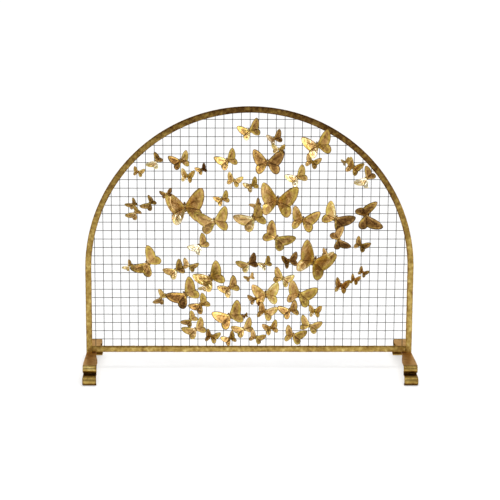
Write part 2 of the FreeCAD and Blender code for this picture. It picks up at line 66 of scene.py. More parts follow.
BUTTERFLIES = [
    ( 1,  -326.4,  -12.2,  602.5,  -17.1,  19.7,  39.2,  31.5),
    ( 2,  -273.7,  -12.6,  634.6,   56.4,  26.0,   7.0,  31.1),
    ( 3,  -202.1,  -13.1,  635.7,   19.3,  34.7,  31.0,  38.8),
    ( 4,  -182.1,  -12.7,  591.2,   -9.9,  28.5,  44.9,  51.1),
    ( 5,  -140.0,  -12.2,  610.4,   29.4,  20.6,  38.8,  39.3),
    ( 6,  -243.0,  -73.7,  548.9,   16.1,  18.1,  17.9,   7.0),
    ( 7,  -342.7,  -12.2,  508.1,   41.7,  19.4,   7.0,  40.5),
    ( 8,  -335.6,  -12.5,  482.0,   52.1,  25.2,   7.6,  44.8),
    ( 9,  -291.9,  -12.5,  510.1,   54.3,  25.8,   7.0,  40.5),
    (10,  -189.7,  -15.4,  498.8,    7.4,  72.7,  45.2,  35.6),
    (11,  -103.1,  -51.7,  463.7,   14.2,  51.7,   7.0,  33.4),
    (12,  -146.3,  -12.9,  383.1,   42.8,  31.5,  24.0,   7.0),
    (13,    -1.5,  -13.2,  724.3,   22.9,  36.0,  36.2,  17.3),
    (14,    70.2,  -12.7,  700.6,   23.7,  27.6,  50.7,  20.4),
    (15,    81.8,  -41.0,  674.3,   -1.8,  20.4,   7.0,  29.9),
    (16,    50.8,  -14.2,  631.3,   -1.1,  53.2,  35.4,  32.5),
    (17,   -65.4,  -13.2,  637.7,   26.9,  36.6,  30.8,  34.0),
    (18,   -46.8,  -12.6,  577.9,  -19.6,  26.3,  28.9,  34.1),
    (19,     4.7,  -12.6,  562.9,   29.1,  26.2,  42.8,  29.5),
    (20,   196.4,  -14.0,  682.1,   17.4,  50.6,  38.2,  31.2),
    (21,   181.2,  -12.7,  632.5,  -20.7,  27.8,  38.0,  41.9),
    (22,   137.7,  -13.1,  586.6,   30.9,  34.9,  38.6,  19.2),
    (23,   278.0,  -11.9,  632.4,   18.6,  15.6,  45.6,  32.9),
    (24,   302.0,  -13.0,  616.7,  -26.8,  33.0,  38.5,  52.0),
    (25,   340.4,  -12.9,  583.8,   55.5,  32.1,  14.6,  21.1),
    (26,   -81.2,  -12.6,  522.1,   26.0,  26.6,  42.6,  26.2),
    (27,    80.5,  -15.2,  518.2,   -7.2,  69.9,  42.8,  41.4),
    (28,    17.3,  -52.0,  513.8,   37.0,  16.9,   7.0,   7.0),
    (29,    11.6,  -13.9,  465.5,   31.7,  48.7,   7.0,  39.4),
    (30,    77.9,  -13.8,  407.1,  -37.3,  46.4,  16.1,   7.0),
    (31,   155.4,  -14.0,  461.3,  -14.2,  50.1,  41.2,  34.2),
    (32,   251.6,  -13.9,  464.9,  -34.0,  48.1,  19.9,  20.7),
    (33,   260.7,  -29.9,  404.3,  -69.0,  34.5,   9.9,  31.0),
    (34,   341.6,  -14.0,  472.9,  -75.9,  49.5,  35.2,  31.0),
    (35,   327.4,  -12.7,  385.2,  -30.6,  27.7,  33.9,  40.9),
    (36,  -299.6,  -13.8,  329.5,   52.5,  46.7,  33.9,  15.2),
    (37,  -355.5,  -44.8,  328.3,   49.3,  16.5,  20.5,   7.0),
    (38,  -217.0,  -13.0,  309.2,   34.4,  32.9,  22.5,  28.0),
    (39,  -177.2,  -12.4,  321.3,  -21.8,  23.4,   7.0,   7.0),
    (40,  -261.3,  -12.4,  224.6,   66.1,  23.1,  14.6,  10.7),
    (41,  -189.5,  -14.0,  236.0,   38.7,  50.2,  27.7,  23.0),
    (42,  -143.6,  -25.0,  208.0,   42.7,  34.1,  37.2,  31.1),
    (43,  -114.7,  -14.1,  286.8,   31.9,  52.0,  42.1,  30.9),
    (44,  -132.2,  -46.5,  268.5,   58.6,  17.8,  18.4,  40.2),
    (45,   -59.2,  -13.1,  255.5,   34.5,  35.3,  42.4,  22.3),
    (46,    -2.7,  -12.9,  327.9,   27.4,  31.7,  10.7,  14.9),
    (47,    45.7,  -12.4,  326.6,   32.5,  23.1,  48.6,   7.0),
    (48,     1.3,  -12.0,  285.9,   27.2,  15.9,   7.0,  19.4),
    (49,    48.0,  -26.7,  239.8,    6.0,  48.9,  37.8,  35.6),
    (50,    16.9,  -12.4,  221.6,   11.9,  23.9,  35.6,  52.0),
    (51,    46.0,  -26.8,  187.7,  -21.9,  36.3,  47.7,  33.7),
    (52,   116.4,  -12.9,  337.1,   14.3,  31.0,  52.0,  25.6),
    (53,   189.9,  -15.3,  336.8,  -25.7,  71.0,  39.1,  49.7),
    (54,   225.2,  -59.2,  368.0,  -21.2,  17.1,   7.0,  15.4),
    (55,    98.1,  -34.6,  288.8,  -23.3,  32.5,   7.0,  39.8),
    (56,   147.3,  -14.0,  236.2,  -18.7,  50.3,  36.3,  28.3),
    (57,   121.0,  -16.3,  188.6,   23.4,  34.6,  31.4,  37.2),
    (58,   193.4,  -19.9,  186.6,   -4.3,  27.6,  48.0,  47.8),
    (59,   270.9,  -13.0,  263.0,  -12.8,  33.0,  51.4,  52.0),
    (60,   310.4,  -12.3,  280.8,  -18.1,  22.4,  52.0,  52.0),
    (61,   335.3,  -12.2,  301.9,  -31.6,  19.5,  32.5,  50.9),
    (62,   -57.7,  -14.0,  169.4,   26.4,  49.6,  33.4,  27.1),
    (63,   -12.7,  -11.7,  169.3,   22.9,  11.2,  52.0,  32.7),
    (64,   -16.4,  -13.0,  129.7,   26.6,  32.7,  24.8,   7.0),
    (65,  -174.4,  -19.7,  158.8,   48.2,  25.0,   7.0,  16.8),
    (66,  -158.6,  -13.1,  128.1,   30.7,  35.1,  15.4,  16.6),
    (67,  -112.5,  -12.7,  107.6,  -18.6,  28.7,  45.5,  38.0),
    (68,   -57.9,  -18.2,  101.9,   30.6,  26.8,  40.3,  38.8),
    (69,    20.5,  -12.6,  104.3,  -25.3,  26.2,  34.0,  27.6),
    (70,    64.0,  -12.8,  133.2,   18.7,  29.4,  45.7,  37.3),
    (71,   130.2,  -13.2,  111.3,  -19.7,  37.2,  39.3,  23.4),
    (72,   179.9,  -12.9,  139.7,  -19.2,  32.1,   7.0,  15.6),
]
# painted light and shade, by butterfly number: wings painted pale, with a painted glint, or dark, to stand in for how
# the light falls on each
PALE_LEFT = [2, 4, 10, 12, 14, 15, 19, 20, 22, 23, 25, 29, 32, 37, 43, 44, 47, 50, 58]
PAINTED_GLINT_LEFT = [12, 14, 23, 24, 47]
PALE_HIND = [2, 10, 13, 20, 22, 23, 25, 38, 45, 46, 53]      # left hindwings
DARK_HIND = [8, 9, 32, 33, 37, 62, 68, 69]
SHADE_LEFT = [3, 41, 57]
SHADE_RIGHT = [2, 5, 7, 9, 13, 15, 25, 28, 35, 37, 38, 44, 46, 47, 50, 68]
DARK_LEFT = [3, 5, 6, 7, 9, 16, 30, 33, 34, 36, 40, 41, 42, 61, 65, 67]
PALE_RIGHT = [4, 18, 49, 51, 54, 55, 60]
DARK_RIGHT = [5, 6, 14, 16, 32, 33, 34, 46, 52]

LARGE = [10, 27, 53]
MEDIUM = [11, 16, 20, 29, 30, 31, 32, 34, 36, 41, 43, 49, 56, 62]


# ------------------------------------------------------------------ numeric helpers
def _hash(ix, iy, iz, seed):
    h = (ix.astype(np.int64) * 73856093) ^ (iy.astype(np.int64) * 19349663) ^ (iz.astype(np.int64) * 83492791) ^ (seed * 2654435761)
    h = h & 0xFFFFFFFF
    h = ((h ^ (h >> 16)) * 0x45D9F3B) & 0xFFFFFFFF
    h = ((h ^ (h >> 16)) * 0x45D9F3B) & 0xFFFFFFFF
    h = h ^ (h >> 16)
    return (h & 0xFFFFFF) / float(0x1000000)


def dimples(p, size, seed):
    """Distance to the nearest of a jittered set of points, in cells: 0 in the middle of a hammer mark, about 1 on a ridge."""
    q = p / size
    c = np.floor(q).astype(np.int64)
    best = np.full(len(p), 9.0)
    for dx in (-1, 0, 1):
        for dy in (-1, 0, 1):
            for dz in (-1, 0, 1):
                ix, iy, iz = c[:, 0] + dx, c[:, 1] + dy, c[:, 2] + dz
                jx = ix + _hash(ix, iy, iz, seed)
                jy = iy + _hash(ix, iy, iz, seed + 11)
                jz = iz + _hash(ix, iy, iz, seed + 23)
                d = (jx - q[:, 0]) ** 2 + (jy - q[:, 1]) ** 2 + (jz - q[:, 2]) ** 2
                best = np.minimum(best, d)
    return np.sqrt(best)


def value_noise(p, size, seed):
    q = p / size
    c = np.floor(q).astype(np.int64)
    f = q - c
    f = f * f * (3 - 2 * f)
    total = np.zeros(len(p))
    for dx in (0, 1):
        for dy in (0, 1):
            for dz in (0, 1):
                w = (f[:, 0] if dx else 1 - f[:, 0]) * (f[:, 1] if dy else 1 - f[:, 1]) * (f[:, 2] if dz else 1 - f[:, 2])
                total += w * _hash(c[:, 0] + dx, c[:, 1] + dy, c[:, 2] + dz, seed)
    return total * 2 - 1


def smooth(a, b, x):
    t = np.clip((x - a) / (b - a), 0, 1)
    return t * t * (3 - 2 * t)


def catmull(points, per):
    """Smooth open curve through points, per samples for each span."""
    p = np.array(points, float)
    e = np.vstack([2 * p[0] - p[1], p, 2 * p[-1] - p[-2]])
    res = []
    for i in range(1, len(e) - 2):
        for k in range(per):
            t = k / per
            a, b, c, d = e[i - 1], e[i], e[i + 1], e[i + 2]
            res.append(0.5 * ((2 * b) + (-a + c) * t + (2 * a - 5 * b + 4 * c - d) * t * t + (-a + 3 * b - 3 * c + d) * t ** 3))
    res.append(e[-2])
    return np.array(res)


def resample(p, n):
    seg = np.linalg.norm(np.diff(p, axis=0), axis=1)
    s = np.concatenate([[0], np.cumsum(seg)])
    t = np.linspace(0, s[-1], n)
    return np.stack([np.interp(t, s, p[:, k]) for k in range(p.shape[1])], 1)


def make_mesh(name, verts, faces, attrs=None, sharp=38.0):
    me = bpy.data.meshes.new(name)
    me.from_pydata((np.asarray(verts) * MM).tolist(), [], faces)
    for key, val in (attrs or {}).items():
        a = me.attributes.new(key, "FLOAT", "POINT")
        a.data.foreach_set("value", np.asarray(val, dtype=np.float32))
    me.validate()
    me.polygons.foreach_set("use_smooth", [True] * len(me.polygons))
    me.set_sharp_from_angle(angle=math.radians(sharp))
    me.update()
    ob = bpy.data.objects.new(name, me)
    bpy.context.scene.collection.objects.link(ob)
    return ob


def rings_to_faces(nr, nc, closed_cap=True, flip=False):
    """Faces of a tube of nr rings of nc points, with end caps."""
    f = []
    for i in range(nr - 1):
        a, b = i * nc, (i + 1) * nc
        for j in range(nc):
            k = (j + 1) % nc
            q = (a + j, a + k, b + k, b + j)
            f.append(q[::-1] if flip else q)
    if closed_cap:
        c0 = tuple(range(nc))
        c1 = tuple(range((nr - 1) * nc, nr * nc))
        f.append(c0 if flip else c0[::-1])
        f.append(c1[::-1] if flip else c1)
    return f


def rounded_rect(a, b, r, na, nb, nr=3):
    """Points of a rounded rectangle of half sizes a, b, counter-clockwise, with outward normals; na, nb points on its flats."""
    pts, nor = [], []
    sides = [((a, -(b - r)), (a, b - r), (1, 0), nb), ((a - r, b), (-(a - r), b), (0, 1), na),
             ((-a, b - r), (-a, -(b - r)), (-1, 0), nb), ((-(a - r), -b), (a - r, -b), (0, -1), na)]
    corners = [(a - r, b - r, 0), (-(a - r), b - r, 90), (-(a - r), -(b - r), 180), (a - r, -(b - r), 270)]
    for (p, q, n, m), (cx, cy, a0) in zip(sides, corners):
        for k in range(m):
            t = k / (m - 1)
            pts.append((p[0] + (q[0] - p[0]) * t, p[1] + (q[1] - p[1]) * t))
            nor.append(n)
        for k in range(1, nr + 1):
            t = math.radians(a0 + 90 * k / (nr + 1))
            pts.append((cx + r * math.cos(t), cy + r * math.sin(t)))
            nor.append((math.cos(t), math.sin(t)))
    return np.array(pts), np.array(nor)


# ------------------------------------------------------------------ hammered bars
def hammer(p, n, seed, size=10.5, depth=0.55):
    """Moves points inwards along their normals, as hammer marks, and returns the moved points and the mark height 0 to 1."""
    d = dimples(p, size, seed)
    h = np.clip(d * 1.15, 0, 1) ** 2
    fine = value_noise(p, 3.1, seed + 5) * 0.10 + value_noise(p, 22.0, seed + 7) * 0.12
    k = np.clip(h + fine, 0, 1.1)
    return p - n * ((1.1 - k) * depth)[:, None], k / 1.1


def sweep(name, centre, side, up, half_side, half_up, radius, seed, na=7, nb=6, size=10.5, depth=0.55):
    """Sweeps a rounded rectangle along a line of centres with its own side and up directions; returns also how far each
    point is from the nearest long edge, 0 at the edge to 1 on the flats."""
    nr = len(centre)
    V, N, F = [], [], []
    for i in range(nr):
        a = half_side[i] if np.ndim(half_side) else half_side
        pts, nn = rounded_rect(a, half_up, radius, na, nb, 4)
        V.append(centre[i] + pts[:, :1] * side[i] + pts[:, 1:] * up[i])
        N.append(nn[:, :1] * side[i] + nn[:, 1:] * up[i])
        F.append(np.hypot(np.maximum(a - np.abs(pts[:, 0]), 0), np.maximum(half_up - np.abs(pts[:, 1]), 0)))
    nc = len(V[0])
    V = np.concatenate(V)
    N = np.concatenate(N)
    flat = smooth(1.0, 4.2, np.concatenate(F))
    d = np.repeat(depth, nc) if np.ndim(depth) else depth
    P, k = hammer(V, N, seed, size, d)
    return P, k, flat, nr, nc


def path_arch(step=2.3):
    r = FRAME_WIDTH / 2 - FRAME_FACE / 2
    leg = ARCH_SPRING - FRAME_BOTTOM
    nl = int(leg / step)
    na = int(math.pi * r / step)
    pts, out = [], []
    for i in range(nl):
        pts.append((-r, 0, FRAME_BOTTOM + leg * i / nl)); out.append((-1, 0, 0))
    for i in range(na + 1):
        t = math.pi - math.pi * i / na
        pts.append((r * math.cos(t), 0, ARCH_SPRING + r * math.sin(t))); out.append((math.cos(t), 0, math.sin(t)))
    for i in range(1, nl + 1):
        pts.append((r, 0, ARCH_SPRING - leg * i / nl)); out.append((1, 0, 0))
    return np.array(pts), np.array(out)


pieces = []

c, o = path_arch()
y = np.tile([0.0, 1.0, 0.0], (len(c), 1))
height = smooth(ARCH_SPRING - 40, ARCH_SPRING + 330, c[:, 2])
# darker towards the top of the arch, most from its middle to the right
top_darkening = height * np.interp(c[:, 0], [-430, -300, -200, -60, 60, 243, 330, 480], [0.40, 0.42, 0.60, 0.95, 1.0, 1.0, 0.80, 0.75])
P, K, flat, nr, nc = sweep("arch", c, o, y, FRAME_FACE / 2, FRAME_DEPTH / 2, 3.2, 3, depth=0.55 - 0.36 * height)
arch = make_mesh("hammered_arch", P, rings_to_faces(nr, nc), {"mark": K, "flat": flat, "shade_and_darkening": np.repeat(top_darkening, nc), "top_sheen": np.zeros(len(P))}, 60)
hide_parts("arch_frame")

n = 410
inner = FRAME_WIDTH / 2 - FRAME_FACE
c = np.stack([np.linspace(-inner, inner, n), np.zeros(n), np.full(n, FRAME_BOTTOM + FRAME_FACE / 2)], 1)
P, K, flat, nr, nc = sweep("rail", c, np.tile([0.0, 0, 1], (n, 1)), np.tile([0.0, 1, 0], (n, 1)), FRAME_FACE / 2, FRAME_DEPTH / 2, 3.2, 9, depth=0.55)
rail = make_mesh("hammered_rail", P, rings_to_faces(nr, nc, flip=True), {"mark": K, "flat": flat, "shade_and_darkening": np.zeros(len(P)), "top_sheen": np.zeros(len(P))}, 60)
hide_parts("bottom_rail")


# ------------------------------------------------------------------ feet
def arc_points(cs, cz, r, a0, a1, step=1.6):
    m = max(4, int(abs(math.radians(a1 - a0)) * r / step))
    t = np.radians(np.linspace(a0, a1, m + 1))
    return np.stack([cs + r * np.cos(t), cz + r * np.sin(t)], 1)


def foot_line():
    """Centre line of half a strap, from the middle out to the end of the sole: distance from the middle, height."""
    flat = np.stack([np.linspace(0, KNUCKLE_S, 64), np.full(64, KNUCKLE_Z + KNUCKLE_R)], 1)
    kn = arc_points(KNUCKLE_S, KNUCKLE_Z, KNUCKLE_R, 90, -90)
    crook = arc_points(KNUCKLE_S, KNUCKLE_Z - KNUCKLE_R - CROOK_R, CROOK_R, 90, 270, 1.0)
    shelf = np.stack([np.linspace(KNUCKLE_S, TOE_S, 12), np.full(12, TOE_Z + TOE_R)], 1)
    toe = arc_points(TOE_S, TOE_Z, TOE_R, 90, -90)
    sole = np.stack([np.linspace(TOE_S, SOLE_IN, 5), np.full(5, TOE_Z - TOE_R)], 1)
    return np.concatenate([flat, kn[1:], crook[1:], shelf[1:], toe[1:], sole[1:]])


def waist(yy):
    """0 at the ends of a strap to 1 under the frame."""
    return np.interp(np.abs(yy), [0, 22, 55, 85, 110], [1.0, 0.90, 0.55, 0.16, 0.0])


def foot(name, sx, seed):
    h = foot_line()
    line = np.concatenate([h[::-1] * [-1, 1], h[1:]])
    t = np.gradient(line, axis=0)
    t /= np.linalg.norm(t, axis=1)[:, None]
    w = waist(line[:, 0])
    centre = np.stack([sx * (FOOT_X + (WAIST_X - FOOT_X) * w), line[:, 0], line[:, 1]], 1)
    side = np.tile([1.0, 0, 0], (len(line), 1))
    up = np.stack([np.zeros(len(line)), -t[:, 1], t[:, 0]], 1)
    hw = STRAP_WIDTH / 2 - (STRAP_WIDTH - STRAP_WAIST) / 2 * w
    hw = hw - 1.3 * np.exp(-((line[:, 1] - 29.0) / 5.0) ** 2) * (np.abs(line[:, 0]) > 130) - 0.9 * smooth(5.0, 2.0, line[:, 1])
    P, K, flat, nr, nc = sweep(name, centre, side, up, hw, STRAP_T / 2, 1.5, seed, na=18, nb=2, size=17.0, depth=0.13)
    flat = smooth(0.2, 2.6, np.repeat(hw, nc) - np.abs(P[:, 0] - np.repeat(centre[:, 0], nc)))
    # painted shade: darker in the fold between knuckle and toe and at the bottom of the toe, more on the front half of
    # each strap
    away = np.abs(P[:, 1])
    sole = smooth(150, 158, away) * smooth(13.0, 4.0, P[:, 2])
    under = smooth(132, 139, away) * smooth(156.5, 152.5, away) * smooth(43, 38, P[:, 2]) * smooth(20, 25, P[:, 2])
    front = smooth(40, -40, P[:, 1])
    under = under * (0.30 + 0.70 * front)
    sole = sole * front
    # painted reflection: the top face of the flat strap is mixed towards a lighter pink-brown, standing in for the
    # studio reflected in it
    top_sheen = smooth(152, 138, away) * smooth(FRAME_BOTTOM - 3.5, FRAME_BOTTOM - 1.0, P[:, 2])
    return make_mesh(name, P, rings_to_faces(nr, nc, flip=True), {"mark": K, "flat": flat, "shade_and_darkening": 0.02 + 0.75 * under + 1.9 * sole, "top_sheen": top_sheen}, 60)


for nm, cx, seed, node in (("strap_foot_left", -1, 21, "left_foot"), ("strap_foot_right", 1, 37, "right_foot")):
    ob = foot(nm, cx, seed)
    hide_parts(node)
    pieces.append(ob)
pieces += [arch, rail]


# ------------------------------------------------------------------ butterflies
OUTLINE = np.vstack([catmull(FOREWING, 24), catmull(HINDWING, 24)[1:]])
_seg = np.concatenate([[0], np.cumsum(np.linalg.norm(np.diff(OUTLINE, axis=0), axis=1))])
NOTCH = float(_seg[24 * (len(FOREWING) - 1)] / _seg[-1])      # where the forewing ends along the edge, 0 to 1


def edge_at(s):
    t = np.asarray(s) * _seg[-1]
    return np.stack([np.interp(t, _seg, OUTLINE[:, 0]), np.interp(t, _seg, OUTLINE[:, 1])], -1)


def edge_distance(uv):
    """Distance of each point to the wing's outline, in wing sizes."""
    line = OUTLINE[::3]
    p = uv.reshape(-1, 2)
    best = np.full(len(p), 9.0)
    for q in line:
        best = np.minimum(best, (p[:, 0] - q[0]) ** 2 + (p[:, 1] - q[1]) ** 2)
    return np.sqrt(best).reshape(uv.shape[:2])


def relief(s, t, uv, size, rng):
    """Height of the stamping in millimetres towards the viewer, and a brightness 0 to 1 that follows the stamping, with
    a painted highlight on the hindwing crescent.
    """
    fore = s <= NOTCH
    sf = np.clip(s / NOTCH, 0, 1)
    sh = np.clip((s - NOTCH) / (1 - NOTCH), 0, 1)
    u, v = uv[..., 0], uv[..., 1]
    crisp = np.clip(34.0 / size, 0.6, 1.5)              # small stampings are pressed relatively deeper
    # each half is domed, with its own fulness
    df, dh = rng.uniform(0.040, 0.065), rng.uniform(0.045, 0.065)
    dome = np.where(fore, df * np.sin(math.pi * np.clip(sf * 0.96 + 0.02, 0, 1)), dh * np.sin(math.pi * sh) ** 0.8)
    h = dome * np.sin(math.pi * np.clip(t, 0, 1) * 0.74)
    # crease from the root to the notch, with the forewing lying over the hindwing
    n0, n1 = np.array([0.06, 0.0]), OUTLINE[24 * (len(FOREWING) - 1)]
    d = (n1 - n0) / np.linalg.norm(n1 - n0)
    over = (u - n0[0]) * -d[1] + (v - n0[1]) * d[0]
    reach = smooth(0.10, 0.24, u)
    h += 0.018 * crisp * smooth(-0.012, 0.012, over) * reach * (1 - smooth(0.05, 0.22, over))
    crease = np.exp(-((over + 0.014) / 0.017) ** 2) * reach
    h -= 0.016 * crisp * crease
    # hindwing: a raised crescent below the crease and a shallow cup inside it
    cu, cv = 0.50, -0.345
    rr = np.hypot(u - cu, v - cv)
    ang = np.arctan2(v - cv, u - cu)
    arc = np.exp(-((rr - 0.150) / 0.024) ** 2) * smooth(-0.35, 0.55, np.sin(ang - 0.5)) * ~fore
    h += 0.020 * crisp * arc
    h -= 0.012 * crisp * np.exp(-(rr / 0.085) ** 2) * ~fore
    # forewing: two broad folds that run out from the root, and a scalloped step near the outer edge
    folds = np.exp(-((sf - 0.36 - 0.05 * t) / 0.045) ** 2) * 0.55 + np.exp(-((sf - 0.68 + 0.04 * t) / 0.04) ** 2)
    folds = folds * smooth(0.12, 0.35, t) * (1 - smooth(0.55, 0.80, t)) * fore
    h -= 0.012 * crisp * folds
    scal = 0.735 + 0.045 * np.abs(np.sin(math.pi * 5.0 * sf))
    step = smooth(-0.022, 0.022, t - scal) * fore * smooth(0.16, 0.30, sf) * (1 - smooth(0.90, 0.98, sf))
    h -= 0.008 * crisp * step
    lip = np.exp(-((t - scal) / 0.022) ** 2) * fore * smooth(0.16, 0.30, sf) * (1 - smooth(0.88, 0.97, sf))
    # small puckers where the wing meets the body
    h += 0.010 * crisp * np.cos(v * 46.0 + rng.uniform(0, 6)) * np.exp(-((u - 0.15) / 0.08) ** 2)
    # a slight curl of the whole wing
    h += (rng.uniform(-0.02, 0.035) * t ** 2 + rng.uniform(-0.02, 0.02) * t ** 2 * (0.5 - s) * 2)
    h *= size
    edge = edge_distance(uv) * size
    h -= 0.45 * (1 - np.clip(edge / 2.8, 0, 1)) ** 2 * min(1.0, size / 34.0)
    # painted highlight on the hindwing crescent; darker in the crease, folds and step and over the hindwing, lighter on
    # the dome and lip
    bright = 0.50 + 0.34 * arc - 0.62 * crease - 0.30 * folds + 0.20 * lip - 0.12 * step + 0.22 * dome / 0.06 - 0.11
    bright = bright - 0.15 * ~fore
    return h, np.clip(bright, 0, 1), edge


def wing_mesh(b, side, rng):
    n, x, yy, z, lean, size, lift_l, lift_r = b
    t = math.radians(lean)
    head = np.array([-math.sin(t), 0, math.cos(t)])
    right = np.array([math.cos(t), 0, math.sin(t)])
    a = math.radians(lift_l if side < 0 else lift_r)
    u = right * (side * math.cos(a)) + np.array([0, -1, 0]) * math.sin(a)
    nrm = np.cross(u, head)
    if nrm[1] > 0:
        nrm = -nrm
    if size > 60: ns, nt = 168, 56
    elif size > 42: ns, nt = 132, 42
    elif size > 27: ns, nt = 100, 30
    else: ns, nt = 76, 22
    s = np.linspace(0, 1, ns)
    tt = np.linspace(0, 1, nt) ** 0.86
    S, T = np.meshgrid(s, tt, indexing="ij")
    E = edge_at(S)
    root = 0.35 * (BODY_R * size + BODY_R_MIN) / size
    base = np.stack([np.full_like(S, root), 0.13 - 0.29 * S], -1)
    uv = base * (1 - T[..., None]) + E * T[..., None]
    uv[..., 0] = np.maximum(uv[..., 0], root)
    H, R, ED = relief(S, T, uv, size, rng)
    H = H - 0.015 * size
    c = np.array([x, yy, z])
    mid = c + (uv[..., :1] * u + uv[..., 1:] * head) * size + nrm * H[..., None]
    flat = mid.reshape(-1, 3)
    k = n * 7 + (3 if side > 0 else 1)
    soft = smooth(0, 4.0, ED.ravel())
    bumpy = value_noise(flat, 12.0, k) * 0.34 + value_noise(flat, 6.4, k + 90) * 0.26 + value_noise(flat, 3.2, k + 180) * 0.07
    if size < 42:
        bumpy = bumpy * 1.25
    flat = flat + nrm * (bumpy * (0.35 + 0.65 * soft))[:, None]
    front = flat + nrm * (WING_T * 0.42)
    back = flat - nrm * (WING_T * 0.42)
    V = np.concatenate([front, back])
    m = ns * nt
    idx = np.arange(m).reshape(ns, nt)
    f = []
    A, B, C, D = idx[:-1, :-1].ravel(), idx[1:, :-1].ravel(), idx[1:, 1:].ravel(), idx[:-1, 1:].ravel()
    quad = np.stack([A, B, C, D], 1)
    # orientation
    q0 = flat[quad[len(quad) // 2]]
    g = np.cross(q0[1] - q0[0], q0[2] - q0[0])
    if g @ nrm < 0:
        quad = quad[:, ::-1]
    f += quad.tolist()
    f += (quad[:, ::-1] + m).tolist()
    rimline = list(idx[0, :]) + list(idx[1:, -1]) + list(idx[-1, -2::-1]) + list(idx[-2:0:-1, 0])
    r = np.array(rimline)
    r2 = np.roll(r, -1)
    sidef = np.stack([r, r2, r2 + m, r + m], 1)
    fr = {(q[i], q[(i + 1) % 4]) for q in quad.tolist() for i in range(4)}
    if (int(r[0]), int(r2[0])) in fr:
        sidef = sidef[:, ::-1]
    f += sidef.tolist()
    # painted light and shade: left wings a little lighter than right ones, and the listed wings painted pale, with a
    # glint, or dark, to stand in for how the light falls on each; the random part is each wing's own colour
    random_colour_and_painted_light = rng.uniform(-0.06, 0.06) + (0.01 if side < 0 else -0.03)
    if side < 0 and n in PALE_LEFT: random_colour_and_painted_light += 0.25 if size < 45 else 0.10
    if side < 0 and n in PAINTED_GLINT_LEFT: random_colour_and_painted_light += 0.16
    if side < 0 and n in DARK_LEFT: random_colour_and_painted_light -= 0.14
    if side > 0 and n in PALE_RIGHT: random_colour_and_painted_light += 0.16
    if side > 0 and n in DARK_RIGHT: random_colour_and_painted_light -= 0.20
    if side > 0 and n in SHADE_RIGHT: random_colour_and_painted_light -= 0.15
    if side < 0 and n in SHADE_LEFT: random_colour_and_painted_light -= 0.16
    warm = (0.80 if side < 0 else 0.30) + rng.uniform(-0.25, 0.25)
    if side > 0 and n in DARK_RIGHT: warm = 1.15
    # painted light: lighter near the body, and the listed left hindwings painted lighter or darker
    painted_light_root_and_hind = 0.17 * np.exp(-(uv[..., 0] / 0.34) ** 2) - 0.03
    hind = smooth(NOTCH, NOTCH + 0.04, S)
    if side < 0 and n in PALE_HIND: painted_light_root_and_hind = painted_light_root_and_hind + 0.22 * hind
    if side < 0 and n in DARK_HIND: painted_light_root_and_hind = painted_light_root_and_hind - 0.15 * hind
    tone = np.concatenate([(random_colour_and_painted_light + painted_light_root_and_hind).ravel()] * 2)
    rel = np.concatenate([R.ravel(), R.ravel()])
    rim = np.concatenate([ED.ravel(), ED.ravel()])
    band = np.exp(-((rim / size - 0.085) / 0.060) ** 2)
    # the listed pale left wings also get a stronger light and dark contrast over the stamping, as part of their painted
    # highlight
    gain = 1.7 if side < 0 and n in PALE_LEFT else (1.4 if size < 42 else 0.80)
    rel = np.clip((rel - 0.5) * gain + 0.5, -0.3, 1.3)
    return V, f, {"tone": tone, "relief": rel, "edge": rim, "band": band, "warm": np.full(len(V), warm)}


def body_mesh(b, rng):
    n, x, yy, z, lean, size = b[:6]
    t = math.radians(lean)
    head = np.array([-math.sin(t), 0, math.cos(t)])
    right = np.array([math.cos(t), 0, math.sin(t)])
    fwd = np.array([0.0, -1.0, 0.0])
    a, r = BODY_HALF * size, BODY_R * size + BODY_R_MIN
    nr, nc = (46, 16) if size > 42 else (30, 12)
    v = np.linspace(-1, 1, nr)
    prof = np.zeros(nr)
    for i, q in enumerate(v):
        abdomen = 0.70 * math.sqrt(max(0, 1 - ((q + 0.42) / 0.58) ** 2)) if q < 0.16 else 0
        thorax = 1.0 * math.sqrt(max(0, 1 - ((q - 0.28) / 0.36) ** 2))
        headb = 0.66 * math.sqrt(max(0, 1 - ((q - 0.78) / 0.22) ** 2))
        prof[i] = max(abdomen, thorax, headb)
        if q < 0.1:
            prof[i] *= 1 - 0.10 * (0.5 + 0.5 * math.cos((q + 1) * 26))
    prof = np.maximum(prof, 0.06)
    ang = np.linspace(0, 2 * math.pi, nc, endpoint=False)
    V = []
    for i in range(nr):
        rr = prof[i] * r
        for g in ang:
            V.append(np.array([x, yy, z]) + head * (v[i] * a) + right * (math.cos(g) * rr) + fwd * (math.sin(g) * rr))
    V = np.array(V)
    V = V + value_noise(V, 2.2, n)[:, None] * fwd * 0.05
    k = np.repeat(prof, nc)
    return V, rings_to_faces(nr, nc, flip=True), {"relief": k}


def node_of(b):
    n, x, z = b[0], b[1], b[3]
    if n in LARGE:
        return "wings_large_%d" % (LARGE.index(n) + 1)
    if n in MEDIUM:
        return "wings_medium_%02d" % (MEDIUM.index(n) + 1)
    row = "top" if z >= 555.5 else ("middle" if z >= 295.5 else "low")
    col = "left" if x < -100 else ("centre" if x < 100 else "right")
    return "wings_small_%s_%s" % (row, col)


def gather(parts):
    V, F, A, off = [], [], {}, 0
    for v, f, a in parts:
        V.append(v)
        F += [tuple(int(i) + off for i in q) for q in f]
        for key, val in a.items():
            A.setdefault(key, []).append(val)
        off += len(v)
    return np.concatenate(V), F, {key: np.concatenate(val) for key, val in A.items()}


groups, body_big, body_small = {}, [], []
for b in BUTTERFLIES:
    rng = np.random.default_rng(1000 + b[0])
    groups.setdefault(node_of(b), []).extend([wing_mesh(b, -1, rng), wing_mesh(b, 1, rng)])
    (body_big if b[0] in LARGE or b[0] in MEDIUM else body_small).append(body_mesh(b, rng))

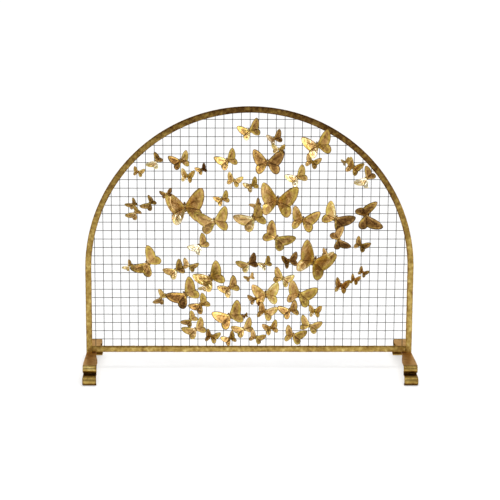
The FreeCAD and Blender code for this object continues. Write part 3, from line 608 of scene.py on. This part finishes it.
wing_objs, body_objs = [], []
for node in sorted(groups):
    V, F, A = gather(groups[node])
    ob = make_mesh(node.replace("wings", "stamped_wings"), V, F, A, 50)
    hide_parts(node)
    wing_objs.append(ob)
for name, node, parts in (("ringed_bodies_large_medium", "bodies_large_medium", body_big), ("ringed_bodies_small", "bodies_small", body_small)):
    V, F, A = gather(parts)
    ob = make_mesh(name, V, F, A, 60)
    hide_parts(node)
    body_objs.append(ob)
pieces += wing_objs + body_objs


# ------------------------------------------------------------------ materials
def new_material(name):
    m = bpy.data.materials.new(name)
    m.use_nodes = True
    nt = m.node_tree
    nt.nodes.clear()
    outn = nt.nodes.new("ShaderNodeOutputMaterial")
    bs = nt.nodes.new("ShaderNodeBsdfPrincipled")
    nt.links.new(bs.outputs["BSDF"], outn.inputs["Surface"])
    return m, nt, bs


def noise(nt, coord, scale, detail=4.0, rough=0.55, dist=0.0):
    n = nt.nodes.new("ShaderNodeTexNoise")
    n.inputs["Scale"].default_value = scale
    n.inputs["Detail"].default_value = detail
    n.inputs["Roughness"].default_value = rough
    n.inputs["Distortion"].default_value = dist
    nt.links.new(coord, n.inputs["Vector"])
    return n.outputs["Fac"]


def math_node(nt, op, a, b=None, c=None, clamp=False):
    n = nt.nodes.new("ShaderNodeMath")
    n.operation = op
    n.use_clamp = clamp
    for i, v in enumerate((a, b, c)):
        if v is None:
            continue
        if isinstance(v, (int, float)):
            n.inputs[i].default_value = v
        else:
            nt.links.new(v, n.inputs[i])
    return n.outputs[0]


def ramp(nt, fac, stops):
    n = nt.nodes.new("ShaderNodeValToRGB")
    e = n.color_ramp.elements
    while len(e) < len(stops):
        e.new(0.5)
    for el, (pos, col) in zip(e, stops):
        el.position = pos
        el.color = (*col, 1.0)
    nt.links.new(fac, n.inputs["Fac"])
    return n.outputs["Color"]


def mapr(nt, fac, a, b, c, d):
    n = nt.nodes.new("ShaderNodeMapRange")
    n.inputs["From Min"].default_value = a
    n.inputs["From Max"].default_value = b
    n.inputs["To Min"].default_value = c
    n.inputs["To Max"].default_value = d
    nt.links.new(fac, n.inputs["Value"])
    return n.outputs["Result"]


def attr(nt, name):
    n = nt.nodes.new("ShaderNodeAttribute")
    n.attribute_name = name
    return n.outputs["Fac"]


def bump(nt, height, strength, distance, bs):
    n = nt.nodes.new("ShaderNodeBump")
    n.inputs["Strength"].default_value = strength
    n.inputs["Distance"].default_value = distance
    nt.links.new(height, n.inputs["Height"])
    nt.links.new(n.outputs["Normal"], bs.inputs["Normal"])


def obj_coord(nt):
    return nt.nodes.new("ShaderNodeTexCoord").outputs["Object"]


# antique gold on hammered bars: bright on the marks' ridges, brown along the edges, darker towards the top of the arch,
# painted shade in the feet's folds and toe bottoms, and a painted reflection on the strap tops
m_bar, nt, bs = new_material("antique_gold_bar")
co = obj_coord(nt)
big = noise(nt, co, 30.0, 4.0, 0.6, 0.5)
mid = noise(nt, co, 110.0, 4.0, 0.6)
fin = noise(nt, co, 480.0, 3.0, 0.6)
f = math_node(nt, "ADD", math_node(nt, "MULTIPLY", attr(nt, "mark"), 0.30), math_node(nt, "MULTIPLY", big, 0.66))
f = math_node(nt, "ADD", f, math_node(nt, "MULTIPLY", mid, 0.62))
f = math_node(nt, "ADD", f, math_node(nt, "MULTIPLY", attr(nt, "flat"), 0.26))
# painted shade on the feet, and darkening towards the top of the arch
f = math_node(nt, "SUBTRACT", f, math_node(nt, "MULTIPLY", attr(nt, "shade_and_darkening"), 0.36))
f = mapr(nt, f, 0.37, 1.35, 0.0, 1.0)
gold = ramp(nt, f, [(0.0, (0.055, 0.024, 0.006)), (0.24, (0.145, 0.072, 0.018)), (0.50, (0.33, 0.205, 0.048)), (0.72, (0.50, 0.345, 0.097)), (1.0, (0.74, 0.60, 0.24))])
# painted reflection: lighter pink-brown on the top faces of the foot straps
top_sheen_colour = ramp(nt, f, [(0.0, (0.14, 0.070, 0.030)), (0.30, (0.36, 0.205, 0.085)), (0.60, (0.64, 0.420, 0.195)), (1.0, (0.86, 0.64, 0.34))])
mx = nt.nodes.new("ShaderNodeMix")
mx.data_type = "RGBA"
nt.links.new(attr(nt, "top_sheen"), mx.inputs["Factor"])
nt.links.new(gold, mx.inputs["A"])
nt.links.new(top_sheen_colour, mx.inputs["B"])
nt.links.new(mx.outputs["Result"], bs.inputs["Base Color"])
bs.inputs["Metallic"].default_value = 1.0
bs.inputs["Specular Tint"].default_value = (0.92, 0.66, 0.42, 1.0)
nt.links.new(mapr(nt, math_node(nt, "ADD", fin, f), 0.3, 1.6, 0.46, 0.27), bs.inputs["Roughness"])
bump(nt, math_node(nt, "ADD", fin, math_node(nt, "MULTIPLY", mid, 0.6)), 0.30, 0.0005, bs)

# antique gold on the stamped wings: mottled, a brown line round the rim and down the crease
m_wing, nt, bs = new_material("antique_gold_wing")
co = obj_coord(nt)
big = noise(nt, co, 58.0, 3.0, 0.60, 1.0)
mid = noise(nt, co, 150.0, 4.0, 0.6, 0.3)
fin = noise(nt, co, 640.0, 3.0, 0.6)
f = math_node(nt, "ADD", math_node(nt, "MULTIPLY", attr(nt, "relief"), 0.46), math_node(nt, "MULTIPLY", big, 0.62))
f = math_node(nt, "ADD", f, math_node(nt, "MULTIPLY", mid, 0.36))
# per wing painted light and shade, with each wing's own random colour
f = math_node(nt, "ADD", f, attr(nt, "tone"))
f = math_node(nt, "ADD", f, math_node(nt, "MULTIPLY", math_node(nt, "SUBTRACT", attr(nt, "band"), 0.36), 0.20))
rimf = mapr(nt, math_node(nt, "ADD", attr(nt, "edge"), math_node(nt, "MULTIPLY", mid, 1.2)), 0.8, 2.6, 0.16, 0.0)
f = math_node(nt, "SUBTRACT", f, rimf)
f = mapr(nt, f, 0.25, 1.17, 0.0, 1.0)
olive = ramp(nt, f, [(0.0, (0.070, 0.034, 0.008)), (0.20, (0.18, 0.100, 0.022)), (0.46, (0.44, 0.300, 0.062)), (0.74, (0.66, 0.505, 0.125)), (1.0, (0.98, 0.92, 0.58))])
tan = ramp(nt, f, [(0.0, (0.080, 0.034, 0.010)), (0.22, (0.24, 0.122, 0.034)), (0.48, (0.55, 0.330, 0.120)), (0.76, (0.83, 0.575, 0.255)), (1.0, (1.0, 0.94, 0.72))])
mx = nt.nodes.new("ShaderNodeMix")
mx.data_type = "RGBA"
hue = math_node(nt, "ADD", math_node(nt, "ADD", attr(nt, "warm"), math_node(nt, "MULTIPLY", math_node(nt, "SUBTRACT", 0.36, attr(nt, "band")), 1.0)), math_node(nt, "MULTIPLY", math_node(nt, "SUBTRACT", noise(nt, co, 42.0, 2.5), 0.5), 4.2), clamp=True)
nt.links.new(hue, mx.inputs["Factor"])
nt.links.new(olive, mx.inputs["A"])
nt.links.new(tan, mx.inputs["B"])
nt.links.new(mx.outputs["Result"], bs.inputs["Base Color"])
bs.inputs["Metallic"].default_value = 1.0
nt.links.new(mapr(nt, math_node(nt, "ADD", fin, f), 0.3, 1.6, 0.42, 0.24), bs.inputs["Roughness"])
bump(nt, math_node(nt, "ADD", fin, math_node(nt, "MULTIPLY", mid, 1.2)), 0.35, 0.0004, bs)

# bodies and stand-off rods, darker
m_body, nt, bs = new_material("antique_gold_body")
co = obj_coord(nt)
f = math_node(nt, "ADD", math_node(nt, "MULTIPLY", attr(nt, "relief"), 0.5), math_node(nt, "MULTIPLY", noise(nt, co, 160.0, 4.0), 0.6))
col = ramp(nt, mapr(nt, f, 0.3, 1.0, 0.0, 1.0), [(0.0, (0.05, 0.026, 0.010)), (0.5, (0.24, 0.14, 0.045)), (1.0, (0.58, 0.42, 0.18))])
nt.links.new(col, bs.inputs["Base Color"])
bs.inputs["Metallic"].default_value = 1.0
nt.links.new(mapr(nt, noise(nt, co, 500.0), 0.3, 0.7, 0.30, 0.46), bs.inputs["Roughness"])
bump(nt, noise(nt, co, 380.0), 0.4, 0.0004, bs)

m_post, nt, bs = new_material("stand_off_gold")
co = obj_coord(nt)
col = ramp(nt, noise(nt, co, 180.0, 4.0), [(0.3, (0.05, 0.028, 0.012)), (0.55, (0.18, 0.11, 0.04)), (0.8, (0.40, 0.28, 0.12))])
nt.links.new(col, bs.inputs["Base Color"])
bs.inputs["Metallic"].default_value = 1.0
nt.links.new(mapr(nt, noise(nt, co, 400.0), 0.3, 0.7, 0.36, 0.55), bs.inputs["Roughness"])
bump(nt, noise(nt, co, 300.0), 0.5, 0.0003, bs)

m_wire, nt, bs = new_material("dark_bronze_wire")
co = obj_coord(nt)
col = ramp(nt, math_node(nt, "ADD", math_node(nt, "MULTIPLY", noise(nt, co, 22.0, 3.0), 0.6), math_node(nt, "MULTIPLY", noise(nt, co, 260.0, 3.0), 0.4)),
           [(0.32, (0.010, 0.008, 0.006)), (0.55, (0.032, 0.025, 0.018)), (0.75, (0.070, 0.054, 0.034))])
nt.links.new(col, bs.inputs["Base Color"])
bs.inputs["Metallic"].default_value = 0.75
nt.links.new(mapr(nt, noise(nt, co, 500.0), 0.3, 0.7, 0.38, 0.6), bs.inputs["Roughness"])
bump(nt, noise(nt, co, 420.0), 0.5, 0.0003, bs)

m_screw, nt, bs = new_material("dark_screw")
co = obj_coord(nt)
col = ramp(nt, noise(nt, co, 300.0, 4.0), [(0.3, (0.03, 0.026, 0.022)), (0.7, (0.10, 0.085, 0.065))])
nt.links.new(col, bs.inputs["Base Color"])
bs.inputs["Metallic"].default_value = 1.0
nt.links.new(mapr(nt, noise(nt, co, 700.0), 0.3, 0.7, 0.3, 0.5), bs.inputs["Roughness"])
bump(nt, noise(nt, co, 900.0), 0.4, 0.0002, bs)


def put(ob, mat):
    ob.data.materials.clear()
    ob.data.materials.append(mat)


for ob in (arch, rail, *[p for p in pieces if p.name.startswith("strap_foot")]):
    put(ob, m_bar)
for ob in wing_objs:
    put(ob, m_wing)
for ob in body_objs:
    put(ob, m_body)


def put_node(node, mat):
    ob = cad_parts[node]
    if not ob.material_slots:
        ob.data.materials.append(mat)
    for s in ob.material_slots:
        s.material = mat


for node, mat in (("mesh_vertical_wires", m_wire), ("mesh_horizontal_wires", m_wire), ("posts_large_medium", m_post), ("posts_small", m_post), ("foot_screws", m_screw)):
    put_node(node, mat)

for ob in pieces:
    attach(ob, "root")

# ------------------------------------------------------------------ floor, light, camera
fm = bpy.data.meshes.new("studio_floor")
fm.from_pydata([(-40, -30, 0), (40, -30, 0), (40, 60, 0), (-40, 60, 0)], [], [(0, 1, 2, 3)])
floor = bpy.data.objects.new("studio_floor", fm)
bpy.context.scene.collection.objects.link(floor)
m_floor, nt, bs = new_material("pale_floor")
co = obj_coord(nt)
nt.links.new(ramp(nt, noise(nt, co, 3.0, 3.0), [(0.3, (0.49, 0.49, 0.49)), (0.7, (0.51, 0.51, 0.51))]), bs.inputs["Base Color"])
bs.inputs["Roughness"].default_value = 0.8
bs.inputs["Specular IOR Level"].default_value = 0.0
bs.inputs["Emission Color"].default_value = (1, 1, 1, 1)
spread = nt.nodes.new("ShaderNodeVectorMath")
spread.operation = "LENGTH"
nt.links.new(co, spread.inputs[0])
# painted light: the floor glows, dimmest between about half a metre and a metre from the middle, brighter further out
# and slightly brighter at the middle
painted_floor_light = ramp(nt, math_node(nt, "MULTIPLY", spread.outputs["Value"], 0.1), [(p, (v, v, v)) for p, v in (
    (0.0, 0.54), (0.06, 0.45), (0.11, 0.455), (0.185, 0.52), (0.285, 0.61), (0.395, 0.68), (0.50, 0.72), (0.73, 0.775), (1.0, 0.80))])
nt.links.new(painted_floor_light, bs.inputs["Emission Strength"])
floor.data.materials.append(m_floor)

world = bpy.data.worlds.new("studio")
bpy.context.scene.world = world
world.use_nodes = True
nt = world.node_tree
nt.nodes.clear()
wo = nt.nodes.new("ShaderNodeOutputWorld")
bg = nt.nodes.new("ShaderNodeBackground")
tc = nt.nodes.new("ShaderNodeTexCoord")
sx = nt.nodes.new("ShaderNodeSeparateXYZ")
nt.links.new(tc.outputs["Generated"], sx.inputs[0])
wr = nt.nodes.new("ShaderNodeValToRGB")
el = wr.color_ramp.elements
stops = [(0.0, (1.0, 1.0, 1.0)), (0.18, (0.95, 0.95, 0.95)), (0.34, (0.55, 0.55, 0.56)), (0.55, (0.38, 0.38, 0.38)), (0.80, (0.46, 0.46, 0.46)), (1.0, (0.52, 0.52, 0.52))]
while len(el) < len(stops):
    el.new(0.5)
for e, (p, cc) in zip(el, stops):
    e.position = p
    e.color = (*cc, 1)
nt.links.new(sx.outputs["Z"], wr.inputs["Fac"])
nt.links.new(wr.outputs["Color"], bg.inputs["Color"])
bg.inputs["Strength"].default_value = 1.0
nt.links.new(bg.outputs[0], wo.inputs[0])


def area(name, loc, target, size, power, color=(1, 1, 1), size_y=None, glossy=True):
    ld = bpy.data.lights.new(name, "AREA")
    ld.shape = "RECTANGLE"
    ld.size = size
    ld.size_y = size_y or size
    ld.energy = power
    ld.color = color
    ob = bpy.data.objects.new(name, ld)
    ob.location = loc
    d = Vector(target) - Vector(loc)
    ob.rotation_euler = d.to_track_quat("-Z", "Y").to_euler()
    ob.visible_glossy = glossy
    bpy.context.scene.collection.objects.link(ob)
    return ob


area("key_right", (3.0, -2.0, 1.1), (0, 0, 0.4), 1.7, 36)
area("fill_left", (-3.4, -2.4, 1.6), (0, 0, 0.4), 1.6, 14)
area("front_high", (0.2, -1.6, 3.2), (0, 0, 0.3), 2.6, 15, size_y=1.0)
area("top_soft", (0.0, -0.6, 4.2), (0, 0, 0.2), 3.4, 150, glossy=False)


def flag(name, corners, shade):
    """A dark studio flag that only reflections see."""
    me = bpy.data.meshes.new(name)
    me.from_pydata(corners, [], [(0, 1, 2, 3)])
    ob = bpy.data.objects.new(name, me)
    bpy.context.scene.collection.objects.link(ob)
    m, nt, bs = new_material(name + "_cloth")
    nt.links.new(ramp(nt, noise(nt, obj_coord(nt), 2.0, 2.0), [(0.3, (shade * 0.9,) * 3), (0.7, (shade * 1.1,) * 3)]), bs.inputs["Base Color"])
    bs.inputs["Roughness"].default_value = 1.0
    bs.inputs["Emission Color"].default_value = (1.0, 0.92, 0.80, 1)
    bs.inputs["Emission Strength"].default_value = shade
    ob.data.materials.append(m)
    for k in ("visible_camera", "visible_diffuse", "visible_shadow", "visible_transmission", "visible_volume_scatter"):
        setattr(ob, k, False)
    return ob


flag("flag_front", [(-2.2, -3.1, 0.02), (3.2, -3.1, 0.02), (3.2, -3.1, 1.5), (-2.2, -3.1, 1.5)], 0.17)

PITCH = 12.3
OFFSET = 0.130          # the camera stands this far left of the middle and looks square on, with the picture shifted back
DIST = 5.3
AIM = (0.0016, 0.0, 0.3665)
MM_PER_PX = 2.953
cam_data = bpy.data.cameras.new("camera")
cam_data.sensor_width = 36.0
cam_data.lens = 36.0 * (DIST * 1000 / MM_PER_PX) / 500.0
cam_data.clip_end = 200
cam = bpy.data.objects.new("camera", cam_data)
p = math.radians(PITCH)
cam.location = (AIM[0] - OFFSET, -DIST * math.cos(p), AIM[2] + DIST * math.sin(p))
cam.rotation_euler = (math.radians(90) - p, 0, 0)
cam_data.shift_x = OFFSET * 1000 / MM_PER_PX / 500.0
bpy.context.scene.collection.objects.link(cam)
bpy.context.scene.camera = cam
bpy.context.scene.view_settings.view_transform = "Standard"
bpy.context.scene.view_settings.look = "None"
